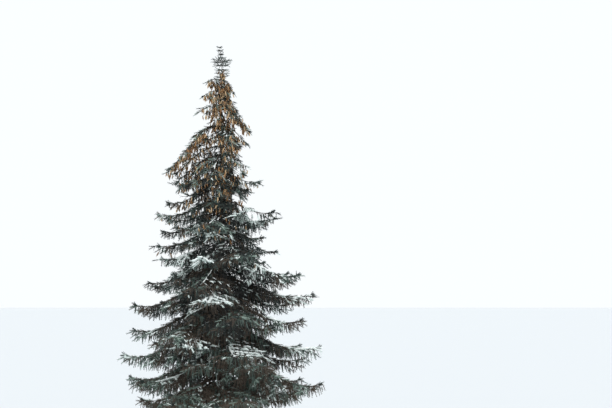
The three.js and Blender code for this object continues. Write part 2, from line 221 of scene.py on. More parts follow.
# Where the photo shows sky through the crown: the place across, the height, and half the width and height
GAPS = (
    (-0.58, 9.10, 0.14, 0.08),
    (0.42, 8.64, 0.10, 0.18),
    (-0.37, 8.59, 0.13, 0.06),
    (0.59, 8.13, 0.08, 0.16),
    (0.42, 7.53, 0.11, 0.14),
    (0.64, 7.32, 0.13, 0.09),
    (-1.32, 7.12, 0.16, 0.10),
    (0.37, 6.88, 0.12, 0.13),
    (-1.04, 6.83, 0.22, 0.09),
    (0.93, 6.39, 0.25, 0.07),
    (1.30, 5.23, 0.30, 0.09),
)

# Cones on each hanging branchlet, tier by tier from the top
CONE_RATES = (3.8, 5.0, 4.0, 2.4, 1.4, 0.5, 0.12, 0.03, 0.0)

# Snow: its share of the upper sides at some heights, and the drifts on the near side, by the place
# across, the height, half the width and the strength, which is below zero where little snow lies
SNOW_HEIGHTS = (1.5, 3.5, 5.0, 6.5, 8.0, 9.2)
SNOW_SHARES = (0.22, 0.24, 0.60, 0.75, 0.36, 0.05)
DRIFTS = (
    (-0.16, 4.10, 0.50, 2.0),
    (-0.95, 5.25, 0.40, 1.0),
    (-0.45, 5.10, 0.40, 1.2),
    (1.10, 4.90, 0.45, 0.9),
    (2.20, 4.10, 0.70, 0.8),
    (1.45, 3.55, 0.35, 0.8),
    (-1.50, 3.15, 0.50, 0.9),
    (-0.55, 2.85, 0.55, 1.6),
    (0.43, 3.15, 0.25, 0.9),
    (0.62, 2.75, 0.42, 2.0),
    (2.30, 2.80, 0.75, 1.2),
    (1.35, 1.75, 0.50, 0.9),
    (-1.30, 1.92, 0.50, 0.8),
    (-0.80, 4.60, 0.65, -0.8),
    (0.50, 3.65, 0.60, -0.8),
    (-1.00, 3.60, 0.60, -0.6),
)
DRIFT_FLATNESS = 2.4

# Drifts end this far behind the trunk's axis, and patches of snow are this many to a metre
LAST_DRIFT = 0.9
PATCHES = 1.6
PATCH_ORIGIN = Vector((7.3, 1.9, 4.4))

# The cap on a frosted shoot: its length in usual caps for each metre of the shoot, how far along and how high
# it sits, and the rise of a shoot that is too steep for one
SHOOT_CAP = 8
CAP_SHARE = 0.45
CAP_LIFT = 0.008
STEEP = 0.55

# How high the caps sit on boughs and on side twigs
BOUGH_CAP_LIFT = 0.022
TWIG_CAP_LIFT = 0.016

# Needle tints, dealt out by spray: name and colour, with the shares of the first ones at some heights, for
# the sprays deep inside and for the outer ones
TINTS = (
    # The first tint, 'shaded', is painted shade: a dark colour for sprays deep inside the crown, where shade
    # falls
    ("shaded", "#262927"),
    ("blue_green", "#35423e"),
    ("grey_green", "#56675f"),
    ("brown", "#51473c"),
    ("pale", "#8a9c92"),
    ("dusted", "#98a6a1"),
    ("frosted", "#f0faf6"),
)
BLUE_GREEN, GREY_GREEN, PALE, DUSTED, FROSTED = 1, 2, 4, 5, 6
TINT_HEIGHTS = (2.0, 4.0, 7.0, 8.5, 9.6)
# Above the foot, sprays deep inside mostly take the dark 'shaded' tint of the first column: painted shade
INNER_SHARES = (
    (0.0, 0.04, 0.23, 0.60, 0.13),
    (0.75, 0.08, 0.02, 0.15, 0.0),
    (0.85, 0.10, 0.0, 0.05, 0.0),
    (0.80, 0.15, 0.0, 0.05, 0.0),
    (0.70, 0.20, 0.10, 0.0, 0.0),
)
OUTER_SHARES = (
    (0.0, 0.0, 0.16, 0.59, 0.25),
    (0.24, 0.20, 0.14, 0.38, 0.04),
    (0.12, 0.38, 0.27, 0.15, 0.08),
    (0.05, 0.30, 0.30, 0.12, 0.23),
    (0.0, 0.15, 0.35, 0.10, 0.40),
)
CONE_TINTS = (("rust", "#a87e54"), ("ochre", "#d6ba93"), ("umber", "#775a3a"))

# Pixels of the photograph: its size, the trunk's line, the leader's tip, the ground at the trunk and the eye
# level, with the distance to the trunk
PHOTO_WIDTH = 612
PHOTO_HEIGHT = 408
TRUNK_PIXEL = 221.5
TIP_PIXEL = 45
GROUND_PIXEL = 450
EYE_PIXEL = 306
EYE_DISTANCE = 37.0

# The stage: half the floor's side, how far the camera sees, and the light's colour, width and tilt
FLOOR_HALF = 3000.0
SIGHT = 9000
SKY_COLOUR = "#f6fafc"
SUN_WIDTH = math.radians(130)
SUN_TILT = math.radians(20)

UP = np.array((0.0, 0.0, 1.0))

# Bark: its plates are taller than wide, stand out up to this distance from their middles, over their size,
# and have flakes this fine. The colours run from the cracks to the plates' faces, at these stops
PLATE_STRETCH = (1, 1, 0.45)
RAISED_DISTANCE = 0.45
GRAIN_MILLIMETRES = 11
BARK_STOPS = (0.38, 0.52, 0.66)
BARK_COLOURS = ("#1d1815", "#40362f", "#685d54")
TWIG_COLOURS = ("#1f1812", "#3a2f25", "#524436")
TWIG_PLATE = 0.012

# A limb's plates are this many times smaller and lower than the trunk's, and its skin starts at this share
YOUNG_PLATE = 2
YOUNG_RELIEF = 3
LIMB_SIDES = 22
LIMB_START = 0.012

# Bumps of the snow caps, and the radius at the tip of a shoot's or a cone's core
SNOW_BUMP_MILLIMETRES = 50
CORE_TIP_RADIUS = 0.004

# No shoot ends further than this outside the frame's box
OVERREACH = 0.11
LOWEST_CORNER = np.array(CAD_BOX[0]) - OVERREACH * np.array((1, 1, 0))
HIGHEST_CORNER = np.array(CAD_BOX[1]) + OVERREACH


def mix(a, b, share):
    return a + (b - a) * share


def seeded(seed):
    """The source's repeatable stream of numbers from 0 to 1."""
    state = (seed * 2654435761) & 0xFFFFFFFF

    def draw():
        nonlocal state
        state = (state + 0x6D2B79F5) & 0xFFFFFFFF
        t = ((state ^ (state >> 15)) * (state | 1)) & 0xFFFFFFFF
        t ^= (t + (((t ^ (t >> 7)) * (t | 61)) & 0xFFFFFFFF)) & 0xFFFFFFFF
        return ((t ^ (t >> 14)) & 0xFFFFFFFF) / 4294967296

    return draw


def colour(hex_colour):
    """An sRGB hex colour as linear red, green, blue and alpha."""
    channels = [int(hex_colour[i : i + 2], 16) / 255 for i in (1, 3, 5)]
    return (*(c / 12.92 if c <= 0.04045 else ((c + 0.055) / 1.055) ** 2.4 for c in channels), 1.0)


def unit(vector):
    return vector / np.linalg.norm(vector)


def level(angle):
    """The level direction at an angle from +X."""
    return np.array((math.cos(angle), math.sin(angle), 0.0))


def eye_at(pixel, distance):
    """The photographer's eye, from the size of a pixel at the trunk and the distance to it."""
    across = (PHOTO_WIDTH / 2 - TRUNK_PIXEL) * pixel
    return np.array((across, -distance, (GROUND_PIXEL - EYE_PIXEL) * pixel))


EYE = eye_at(HEIGHT / (GROUND_PIXEL - TIP_PIXEL), EYE_DISTANCE)


# Curves


def curve_points(handles, shares):
    """Points of a Bezier curve of three or four handles at some shares of it."""
    t = np.atleast_1d(shares)[:, None]
    u = 1 - t
    if len(handles) == 3:
        a, b, c = handles
        return u * u * a + 2 * u * t * b + t * t * c
    a, b, c, d = handles
    return u**3 * a + 3 * u * u * t * b + 3 * u * t * t * c + t**3 * d


def curve_length(handles):
    points = curve_points(handles, np.linspace(0, 1, 33))
    return float(np.linalg.norm(np.diff(points, axis=0), axis=1).sum())


def frame_at(handles, share):
    """The place, direction and level right hand at a share of a curve."""
    share = min(max(share, 0.0), 1.0)
    near, middle, far = curve_points(handles, np.clip((share - 0.01, share, share + 0.01), 0, 1))
    ahead = unit(far - near)
    right = unit(np.cross(ahead, UP))
    return middle, ahead, right


def trunk_axis(height):
    x, y = (WANDER[k] * math.sin(2 * math.pi * height / WANDER_LENGTH[k]) for k in range(2))
    return np.array((x, y, height))


def trunk_radius(height, angle):
    taper = max(0.0, 1 - height / TRUNK_TOP) ** TRUNK_TAPER
    flare = np.exp(-height / FLARE_HEIGHT)
    lobe = 1 + LOBE_DEPTH * flare * np.cos(ROOT_LOBES * angle)
    return (mix(TRUNK_TIP_RADIUS, TRUNK_RADIUS, taper) + FLARE_WIDTH * flare) * lobe


def leader_axis(height):
    """The leader's middle at a height: straight up from the trunk's top, and leaning towards its tip."""
    lean = LEADER_LEAN * max(0.0, height - LEADER_BEND) / (HEIGHT - LEADER_BEND)
    return trunk_axis(TRUNK_TOP) * (1, 1, 0) + (lean, 0, height)


def arm(root, outward, reach, rise):
    """The curve of a short twig, by how far it reaches and rises."""
    return np.array((root, root + outward * reach / 2, root + outward * reach + UP * rise))


def crown_radius(height):
    return CROWN_RADIUS * min(1.0, CROWN_SLOPE * (1 - height / HEIGHT) ** CROWN_POWER)


# Boughs


def bough_handles(tier, azimuth, foot, reach, tip, swerve):
    """The source's curve of a bough, from the trunk's axis to its tip."""
    outward = level(azimuth)
    sideways = np.array((-outward[1], outward[0], 0.0))
    start, end = ARCH if tier < ARCHED_TIERS else SICKLE
    root = trunk_axis(foot)
    last = outward * reach + UP * tip
    near = root + START_HANDLE * reach * (outward + UP * start)
    far = last - END_HANDLE * reach * (outward + UP * end) + sideways * swerve * reach
    return np.array((root, near, far, last))


@functools.cache
def main_boughs():
    """Every bough of the source: its tier, its node's name and its curve."""
    boughs = []
    for tier, (tier_foot, *sides) in enumerate(TIERS):
        sizes = {"right": sides[0], "left": sides[1]}
        triple = tier < TRIPLE_TIERS or tier == len(TIERS) - 1
        skipped = ("front", "back")[tier % 2] if triple else None
        fall = (sides[0][1] + sides[1][1]) / 2 - tier_foot
        spacing = tier_foot - TIERS[tier + 1][0] if tier + 1 < len(TIERS) else 0
        for quarter, place in enumerate(PLACES):
            if place == skipped:
                continue
            draw = seeded(16 * tier + quarter + 1)
            azimuth = quarter * math.pi / 2 + (TURN if tier % 2 else -TURN)
            azimuth += mix(-TURN_JITTER, TURN_JITTER, draw())
            if place in sizes:
                foot = tier_foot
                reach, tip = sizes[place]
            else:
                foot = tier_foot - spacing * mix(*STAGGER, draw())
                reach = crown_radius(foot + fall) * mix(*FRONT_REACH, draw())
                tip = foot + fall * mix(*FALL_JITTER, draw())
            handles = bough_handles(tier, azimuth, foot, reach, tip, mix(-SWERVE, SWERVE, draw()))
            boughs.append({"tier": tier, "name": f"{tier + 1:02d}_{place}", "azimuth": azimuth, "foot": foot,
                           "reach": reach, "tip": tip, "handles": handles, "length": curve_length(handles)})
    return boughs


def tier_above(height):
    """The lowest tier whose foot is above a height, or else the top one."""
    return max(tier for tier, (foot, *_) in enumerate(TIERS) if foot > height or tier == 0)


def zone_of(tier):
    return next(zone for zone, tiers in ZONES.items() if tier in tiers)


class Crown:
    """What grows on the trunk: twigs by zone, and by piece the rows of needle shoots, cones and snow caps."""

    def __init__(self, sizes):
        self.sizes = sizes
        self.twigs = {zone: [] for zone in ZONES}
        self.rows = collections.defaultdict(list)
        for index, bough in enumerate(main_boughs()):
            rng = np.random.default_rng(sizes.seed + index)
            limb = bough["tier"] >= len(TIERS) - LIMB_TIERS
            self.grow_bough(bough["tier"], bough["handles"], LIMB_SHARE if limb else 0.0, 1.0, rng)
            first = 1 if bough["tier"] < OPEN_TIERS else 0
            last = 3 if bough["tier"] in FULL_TIERS else 2
            for number in range(first, last):
                handles = self.companion(bough, number, rng)
                self.grow_bough(bough["tier"], handles, 0.0, sizes.companion_vigour, rng)
        rng = np.random.default_rng(sizes.seed - 1)
        for degrees, foot, reach, tip, droop in EXTRA_BOUGHS:
            tier = tier_above(foot)
            handles = bough_handles(tier, math.radians(degrees), foot, reach, tip, 0.0)
            droops = (droop - DROOP_SPREAD, droop + DROOP_SPREAD)
            self.grow_bough(tier, handles, 0.0, sizes.companion_vigour, rng, droops)
        self.grow_inner_twigs(rng)
        self.grow_leader(rng)

    # What the growth looks up

    def companion(self, bough, number, rng):
        """A lesser bough that grows between two tiers, beside a main one and within its reach."""
        turn, drop, share = COMPANIONS[number]
        tier = bough["tier"]
        below = TIERS[tier + 1][0] if tier + 1 < len(TIERS) else TIERS[tier][0] - LAST_SPACING
        azimuth = bough["azimuth"] + rng.choice((-1, 1)) * rng.uniform(*turn)
        reach = bough["reach"] * rng.uniform(*share)
        foot = min(bough["foot"] - rng.uniform(*drop) * (TIERS[tier][0] - below), TRUNK_TOP - 0.05)
        tip = foot + (bough["tip"] - bough["foot"]) * reach / bough["reach"] * rng.uniform(0.85, 1.1)
        return bough_handles(tier, azimuth, foot, reach, tip, rng.uniform(-SWERVE, SWERVE))

    def hang(self, height, share):
        """How far the branchlets hang, which is least near the tree's top and near a bough's tip."""
        return mix(self.sizes.hang_low, self.sizes.hang_top, height / HEIGHT) * mix(1.25, 0.55, share)

    def drift(self, place):
        """How deep in a drift of the near side a place is: up to 2, and below 0 where the snow has gone."""
        if place[1] > LAST_DRIFT:
            return 0.0
        depths = [
            strength * max(0.0, 1 - math.hypot(place[0] - x, DRIFT_FLATNESS * (place[2] - z)) / half)
            for x, z, half, strength in DRIFTS
        ]
        return max(depths) + min(depths)

    def in_gap(self, place):
        """Whether a place is in line with a gap, as the photographer's eye sees it."""
        across, _, height = EYE + (place - EYE) * EYE[1] / (EYE[1] - place[1])
        return any(math.hypot((across - x) / half, (height - z) / tall) < 1 for x, z, half, tall in GAPS)

    def snow_load(self, place):
        """How much snow lies at a place, from 0 to 1: patchy, least at the top, and most in the drifts."""
        share = np.interp(place[2], SNOW_HEIGHTS, SNOW_SHARES)
        patch = max(0.0, 0.1 + 2.2 * noise.noise(Vector(place) * PATCHES + PATCH_ORIGIN))
        return float(np.clip(share * patch + self.drift(place), 0, 1))

    def fineness(self, height):
        """How long a shoot is at a height, over its length low down."""
        return float(np.interp(height, FINE_HEIGHTS, (1.0, FINEST_SHARE)))

    def depth(self, place):
        """How far out a place is, from 0 at the trunk to 1 at the crown's outside."""
        return min(1.0, math.hypot(place[0], place[1]) / crown_radius(place[2]))

    def spray_tint(self, place, rng):
        """The tint of a spray of needles, by its height and by how deep it is in the crown."""
        depth = self.depth(place)
        inner, outer = (
            np.array([np.interp(place[2], TINT_HEIGHTS, column) for column in zip(*rows)])
            for rows in (INNER_SHARES, OUTER_SHARES)
        )
        # Deeper in the crown, more sprays take the dark 'shaded' tint: painted shade
        shares = mix(inner, outer, depth)
        return int(rng.choice(len(shares), p=shares / shares.sum()))

    # Rows for the node trees

    def add_row(self, piece, place, heading, sizes, kind=0):
        """A row of a piece: place, direction, length, width and height over the usual, and kind of shape."""
        self.rows[piece].append((*place, *unit(heading), *sizes, kind))

    def shoot(self, zone, start, heading, length, tint, frost, rng):
        """A needle shoot, with rime or a cap of snow on it as often as the frost says."""
        kind = int(np.argmin([abs(length - size) for size, _ in SHOOTS[:SHADED_SHOOT]]))
        if length > SHADED_LENGTH and self.depth(start) < SHADED_DEPTH and start[2] < SHADED_HEIGHT:
            kind = SHADED_SHOOT
        size = np.clip(length / SHOOTS[kind][0], *SHOOT_SIZES)
        ahead = unit(heading)
        end = start + ahead * length
        if np.any(end < LOWEST_CORNER) or np.any(end > HIGHEST_CORNER) or self.in_gap((start + end) / 2):
            return
        if rng.random() < frost:
            tint = FROSTED if rng.random() < 0.3 + 0.6 * frost else DUSTED
            if tint == FROSTED and rng.random() < self.sizes.snow_cover and abs(ahead[2]) < STEEP:
                place = start + ahead * length * CAP_SHARE + UP * CAP_LIFT
                self.lump(zone, place, heading, SHOOT_CAP * length, rng.uniform(0.5, 0.9))
        self.add_row(f"needles_{zone}_{TINTS[tint][0]}", start, heading, (size, size, size), kind)

    def twig(self, zone, points, root, tip):
        self.twigs[zone].append((points, np.linspace(root, tip, len(points))))

    def lump(self, zone, place, heading, length, thickness):
        """A cap of snow, which is thicker in a drift."""
        thickness *= 1 + min(1.0, max(0.0, self.drift(place)))
        if not self.in_gap(place):
            self.add_row(f"snow_{zone}", place, heading, (length, thickness, thickness))

    def cone(self, zone, place, rng):
        """A hanging cone, a little out of plumb, that leaves the gaps clear with its middle."""
        tilt = 0.25 * rng.normal(size=3) * (1, 1, 0)
        tint = CONE_TINTS[int(rng.integers(len(CONE_TINTS)))][0]
        size = rng.uniform(0.85, 1.12)
        if not self.in_gap(place - 0.07 * UP):
            self.add_row(f"cones_{zone}_{tint}", place, tilt - UP, (size, size, size))

    # Growth

    def grow_bough(self, tier, handles, bare, vigour, rng, droop=SIDE_TWIG_DROOP):
        """A bough with its side twigs, and with needles and snow on its outer part."""
        sizes = self.sizes
        zone = zone_of(tier)
        length = curve_length(handles)
        stem = curve_points(handles, np.linspace(max(0, bare - 0.02), 1, STEM_POINTS))
        root = (STEM_ROOT * length * (1 - bare) + ROOT_RADIUS) * vigour
        self.twig(zone, stem, root, TWIG_TIP_RADIUS)
        fine = self.fineness(handles[-1][2])
        count = max(5, round(length * 2 * vigour / sizes.side_twig_gap))
        last_twig = 1 - max(0.05, 0.1 / length)
        for i in range(count):
            share = mix(max(bare, sizes.first_side_twig), last_twig, (i + rng.uniform(0.2, 0.8)) / count)
            middle, ahead, right = frame_at(handles, share)
            hand = i % 2 * 2 - 1
            angle = math.radians(mix(*SPRAY_ANGLE, share) + rng.uniform(-10, 10))
            heading = math.cos(angle) * ahead + hand * math.sin(angle) * right
            side_length = sizes.side_twig_share * length * (1 - share) ** 0.7 * rng.uniform(0.8, 1.15)
            side_length = max(side_length, fine * (0.09 + 0.045 * length))
            end = middle + (heading - UP * rng.uniform(*droop)) * side_length
            side = np.array((middle, middle + heading * side_length / 2, end))
            self.grow_spray(tier, side, share, vigour, rng)
        share = max(bare, FIRST_NEEDLES)
        while share < LAST_SHARE:
            middle, ahead, right = frame_at(handles, share)
            load = self.snow_load(middle)
            tint = self.spray_tint(middle, rng)
            heading = ahead + rng.choice((-1, 1)) * 0.6 * right + UP * rng.uniform(-0.4, 0.45)
            self.shoot(zone, middle, heading, fine * rng.uniform(0.1, 0.18), tint, load, rng)
            share += np.interp(share, (0.5, 1), (0.14, 0.055)) / length
        for share in np.arange(max(bare, FIRST_SNOW), LAST_SHARE, sizes.snow_gap / length):
            middle, ahead, right = frame_at(handles, share)
            load = self.snow_load(middle)
            if load > rng.uniform(0.12, 0.6):
                heading = ahead + 0.2 * rng.normal() * right
                thickness = mix(0.6, 1.3, load) * rng.uniform(0.8, 1.2)
                self.lump(zone, middle + UP * BOUGH_CAP_LIFT, heading, rng.uniform(1.5, 2.3), thickness)
        end, ahead, _ = frame_at(handles, max(0.6, 1 - 0.12 / length))
        for _ in range(TIP_SHOOTS):
            heading = ahead + 0.35 * rng.normal(size=3)
            frost = 0.4 * self.snow_load(end)
            self.shoot(zone, end, heading, fine * rng.uniform(0.1, 0.14), BLUE_GREEN, frost, rng)

    def grow_spray(self, tier, side, share, vigour, rng, fruitful=True):
        """A side twig: hanging branchlets under it, short shoots on its flanks, cones, and snow on top."""
        sizes = self.sizes
        zone = zone_of(tier)
        length = curve_length(side)
        root = SIDE_TWIG_RADIUS + SIDE_TWIG_SWELL * length
        self.twig(zone, curve_points(side, (0, 0.5, 1)), root, SIDE_TWIG_TIP_RADIUS)
        load = self.snow_load(side[1])
        fine = self.fineness(side[0][2])
        tint = self.spray_tint(side[1], rng)
        hanging_tint = GREY_GREEN if tint == PALE else tint
        frost = HANGING_FROST * load
        cone_rate = fruitful * CONE_RATES[min(tier, len(CONE_RATES) - 1)]
        cone_rate = cone_rate * np.interp(share, (0, 0.7, 1), (0.3, 1, 0.3))
        for at in np.arange(rng.uniform(0.02, 0.07), length, sizes.branchlet_gap):
            part = at / length
            place, forward, across = frame_at(side, part)
            down = self.hang(place[2], share) * (1 - 0.4 * part) * rng.uniform(0.65, 1.2)
            down *= mix(0.75, 1, vigour)
            drop = unit(-UP + 0.25 * forward + 0.14 * rng.normal(size=3))
            if place[2] - down < sizes.ground_gap:
                continue
            self.shoot(zone, place, drop, down, hanging_tint, frost, rng)
            if down > FORKED_LENGTH:
                fork = drop + 0.8 * rng.normal(size=3) * (1, 1, 0.2)
                self.shoot(zone, place + drop * down * 0.35, fork, 0.45 * down, hanging_tint, frost, rng)
            flank = rng.choice((-1, 1))
            outward = forward + flank * across * 0.8 + UP * rng.uniform(-0.1, 0.35)
            self.shoot(zone, place, outward, fine * rng.uniform(0.1, 0.2), tint, load, rng)
            if rng.random() < load * sizes.snow_cover:
                thickness = mix(0.55, 1.1, load) * rng.uniform(0.8, 1.2)
                self.lump(zone, place + UP * TWIG_CAP_LIFT, forward, rng.uniform(1.4, 2.0), thickness)
            for _ in range(rng.poisson(cone_rate)):
                self.cone(zone, place + drop * down * rng.uniform(0.1, 1) + 0.035 * rng.normal(size=3), rng)
        place, forward, _ = frame_at(side, 1)
        outward = forward + UP * rng.uniform(-0.5, 0.25)
        self.shoot(zone, place, outward, fine * rng.uniform(0.1, 0.2), tint, load, rng)

    def grow_inner_twigs(self, rng):
        """Short, shaded twigs all the way up the trunk, close round it."""
        heights = np.arange(TIERS[-1][0] + 0.1, TIERS[0][0] - 0.05, self.sizes.inner_twig_gap)
        for number, height in enumerate(heights):
            reach = crown_radius(height) * rng.uniform(0.25, 0.55)
            side = arm(trunk_axis(height), level(number * GOLDEN_TURN), reach, -INNER_DROOP * reach)
            fruitful = height > TIERS[OPEN_TIERS][0]
            self.grow_spray(tier_above(height), side, 0.35, 1.0, rng, fruitful)

    def grow_leader(self, rng):
        """The leader: a slim stem with whorls of short, brushy shoots and a few cones."""
        stem = [leader_axis(z) for z in np.linspace(TRUNK_TOP, HEIGHT - 0.02, 8)]
        self.twig("top", np.array(stem), 0.01, TWIG_TIP_RADIUS)
        for height, reach, rise, twigs, cones, size in WHORLS:
            for i in range(twigs):
                outward = level(2 * math.pi * (i + rng.uniform(0.1, 0.6)) / twigs)
                start = leader_axis(height + rng.uniform(-0.15, 0.15) * reach)
                side = arm(start, outward, reach, rise)
                self.twig("top", curve_points(side, (0, 0.5, 1)), SIDE_TWIG_RADIUS, SIDE_TWIG_TIP_RADIUS)
                for part in np.arange(0.35, 1.05, max(0.32, 0.045 / reach)):
                    place, forward, _ = frame_at(side, part)
                    heading = forward + 0.35 * rng.normal(size=3) + UP * 0.5 * max(0, part - 0.7)
                    tint = BLUE_GREEN if rng.random() < 0.75 else GREY_GREEN
                    self.shoot("top", place, heading, size * rng.uniform(0.85, 1.15), tint, 0, rng)
                for _ in range(rng.poisson(cones)):
                    self.cone("top", side[1] - UP * rng.uniform(0, 0.05), rng)


# Meshes and pieces


def mesh_of(name, corners, edges=(), faces=()):
    mesh = bpy.data.meshes.new(name)
    mesh.from_pydata([tuple(corner) for corner in corners], edges, faces)
    return mesh


def points_mesh(name, rows):
    """A mesh of loose points, one for each row, with the rest of the row as attributes."""
    places, directions, sizes, kinds = np.split(np.array(rows, np.float32), (3, 6, 9), axis=1)
    mesh = bpy.data.meshes.new(name)
    mesh.vertices.add(len(rows))
    mesh.vertices.foreach_set("co", places.ravel())
    for key, values in (("direction", directions), ("size", sizes)):
        mesh.attributes.new(key, "FLOAT_VECTOR", "POINT").data.foreach_set("vector", values.ravel())
    mesh.attributes.new("kind", "INT", "POINT").data.foreach_set("value", kinds.astype(np.int32).ravel())
    return mesh


def chain_mesh(name, twigs):
    """Twigs as chains of edges, with the radius at each point."""
    edges, first = [], 0
    for line, _ in twigs:
        edges.extend((first + i, first + i + 1) for i in range(len(line) - 1))
        first += len(line)
    mesh = mesh_of(name, np.concatenate([line for line, _ in twigs]), edges)
    radii = np.concatenate([radius for _, radius in twigs])
    mesh.attributes.new("radius", "FLOAT", "POINT").data.foreach_set("value", radii.astype(np.float32))
    return mesh


def add_object(name, data):
    thing = bpy.data.objects.new(name, data)
    bpy.context.scene.collection.objects.link(thing)
    return thing


def grown_mesh(name, mesh, tree, values):
    """An object whose mesh is what a node tree makes of a mesh, with the tree's inputs set by name."""
    piece = add_object(name, mesh)
    modifier = piece.modifiers.new("grow", "NODES")
    modifier.node_group = tree
    for item in tree.interface.items_tree:
        if item.item_type == "SOCKET" and item.in_out == "INPUT" and item.name in values:
            modifier[item.identifier] = values[item.name]
    evaluated = piece.evaluated_get(bpy.context.evaluated_depsgraph_get())
    grown = bpy.data.meshes.new_from_object(evaluated)
    piece.modifiers.clear()
    piece.data = grown
    bpy.data.meshes.remove(mesh)
    grown.name = name
    return piece


def dress(piece, nodes=()):
    """Fixes a finished piece to the tree, and hides the nodes that it stands for."""
    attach(piece, BODY)
    if nodes:
        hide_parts(*nodes)


def masses_of(zone):
    names = [f"foliage_{bough['name']}" for bough in main_boughs() if bough["tier"] in ZONES[zone]]
    return names + (["foliage_leader"] if zone == "top" else [])


@functools.cache
def blade(name, corners, faces):
    """A small shape that a node tree repeats, in an object outside the scene."""
    return bpy.data.objects.new(name, mesh_of(name, corners, (), faces))


def needle_blade():
    """One needle along X, a metre long and wide."""
    return blade("needle", ((0, -0.5, 0), (1, 0, 0), (0, 0.5, 0)), ((0, 1, 2),))


def cone_scale_blade():
    """One scale of a cone along X, a metre long and wide, broadest past its middle."""
    corners = ((0, 0, 0), (0.62, -0.5, 0), (1, 0, 0), (0.62, 0.5, 0))
    return blade("cone scale", corners, ((0, 1, 2), (0, 2, 3)))


def snow_cap_blade():
    """A rounded cap a metre long, wide and high, with an underside that tucks in."""
    sides = 6
    corners = [(0.0, 0.0, 1.0)]
    for radius, height in ((0.4, 0.75), (0.5, 0.15)):
        for i in range(sides):
            angle = 2 * math.pi * i / sides
            corners.append((radius * math.cos(angle), radius * math.sin(angle), height))
    corners.append((0.0, 0.0, 0.0))
    faces = []
    for i in range(sides):
        k = (i + 1) % sides
        faces.append((0, 1 + i, 1 + k))
        faces.append((1 + i, 1 + sides + i, 1 + sides + k, 1 + k))
        faces.append((1 + sides + k, 1 + sides + i, 1 + 2 * sides))
    return blade("snow cap", tuple(corners), tuple(faces))


# Node trees


def add_node(tree, kind, inputs=None, output=0, **settings):
    """Adds a node and gives an output of it, by number or name, if it has any.

    Settings are the node's own choices, and inputs are values or the sockets that feed it.
    """
    node = tree.nodes.new(kind)
    for key, value in settings.items():
        setattr(node, key, value)
    for key, value in (inputs or {}).items():
        for source in value if isinstance(value, list) else [value]:
            if isinstance(source, bpy.types.NodeSocket):
                tree.links.new(source, node.inputs[key])
            else:
                node.inputs[key].default_value = source
    return node.outputs[output] if len(node.outputs) else None


def geometry_tree(name, inputs):
    """A geometry node tree with named inputs and a material, and the sockets that give them."""
    tree = bpy.data.node_groups.new(name, "GeometryNodeTree")
    tree.interface.new_socket("Geometry", in_out="OUTPUT", socket_type="NodeSocketGeometry")
    for key, value in {"Geometry": "Geometry", **inputs, "Material": "Material"}.items():
        kind = {int: "Int", float: "Float"}.get(type(value), value)
        socket = tree.interface.new_socket(key, in_out="INPUT", socket_type=f"NodeSocket{kind}")
        if kind != value:
            socket.default_value = value
    return tree, tree.nodes.new("NodeGroupInput").outputs


def close_tree(tree, given, geometry):
    """Ends a tree: instances made real, and the material set."""
    real = add_node(tree, "GeometryNodeRealizeInstances", {"Geometry": geometry})
    done = add_node(tree, "GeometryNodeSetMaterial", {"Geometry": real, "Material": given["Material"]})
    add_node(tree, "NodeGroupOutput", {"Geometry": done})
    return tree


def moved(tree, geometry, offset):
    return add_node(tree, "GeometryNodeSetPosition", {"Geometry": geometry, "Offset": offset})


def smooth(tree, geometry):
    return add_node(tree, "GeometryNodeSetShadeSmooth", {"Geometry": geometry})


def math_node(tree, operation, first, second):
    return add_node(tree, "ShaderNodeMath", {0: first, 1: second}, operation=operation)


def vector_math(tree, operation, vector, other):
    place = 3 if operation == "SCALE" else 1
    return add_node(tree, "ShaderNodeVectorMath", {0: vector, place: other}, operation=operation)


def combined(tree, x, y, z):
    return add_node(tree, "ShaderNodeCombineXYZ", {"X": x, "Y": y, "Z": z})


def attribute(tree, name, data_type="FLOAT_VECTOR"):
    return add_node(tree, "GeometryNodeInputNamedAttribute", {"Name": name}, data_type=data_type)


def random_value(tree, least, most, seed):
    values = {2: least, 3: most, 8: seed}
    return add_node(tree, "FunctionNodeRandomValue", values, 1, data_type="FLOAT")


def joined(tree, *parts):
    return add_node(tree, "GeometryNodeJoinGeometry", {0: list(parts)})


def shape_of(tree, thing):
    return add_node(tree, "GeometryNodeObjectInfo", {"Object": thing}, "Geometry")


def evenly_spaced(tree, count, offset):
    return add_node(tree, "GeometryNodeMeshLine", {"Count": count, "Offset": offset}, mode="OFFSET")


def repeated(tree, points, shape, rotation, scale, chosen=True):
    """A shape on each of the points that are chosen."""
    inputs = {"Points": points, "Selection": chosen, "Instance": shape, "Rotation": rotation, "Scale": scale}
    return add_node(tree, "GeometryNodeInstanceOnPoints", inputs)


def core(tree, radius, length):
    """A slim, three-sided core along X, which gets thinner towards its tip."""
    sizes = {"Vertices": 3, "Radius Top": CORE_TIP_RADIUS, "Radius Bottom": radius, "Depth": length}
    upright = add_node(tree, "GeometryNodeMeshCone", sizes)
    return add_node(tree, "GeometryNodeTransform", {"Geometry": upright, "Rotation": (0, math.pi / 2, 0)})


def aimed(tree):
    """A rotation that takes X along the direction of each point."""
    direction = {"Vector": attribute(tree, "direction")}
    return add_node(tree, "FunctionNodeAlignRotationToVector", direction, axis="X")


def spun(tree, rotation, angle, space):
    """A rotation with a turn round X added: the instance's own X, or the parent's in GLOBAL space."""
    spin = add_node(tree, "FunctionNodeAxisAngleToRotation", {"Axis": (1, 0, 0), "Angle": angle})
    both = {"Rotation": rotation, "Rotate By": spin}
    return add_node(tree, "FunctionNodeRotateRotation", both, rotation_space=space)


def aimed_at_random(tree, seed):
    """Takes X along the direction of each point, and spins each instance about that by a random angle."""
    return spun(tree, aimed(tree), random_value(tree, 0.0, 2 * math.pi, seed), "LOCAL")


def spiral(tree, lean):
    """Leans a blade outwards from X, each one a golden turn round X from the one before."""
    leaning = combined(tree, 0.0, math_node(tree, "MULTIPLY", lean, -1.0), 0.0)
    outwards = add_node(tree, "FunctionNodeEulerToRotation", {"Euler": leaning})
    index = add_node(tree, "GeometryNodeInputIndex")
    return spun(tree, outwards, math_node(tree, "MULTIPLY", index, GOLDEN_TURN), "GLOBAL")


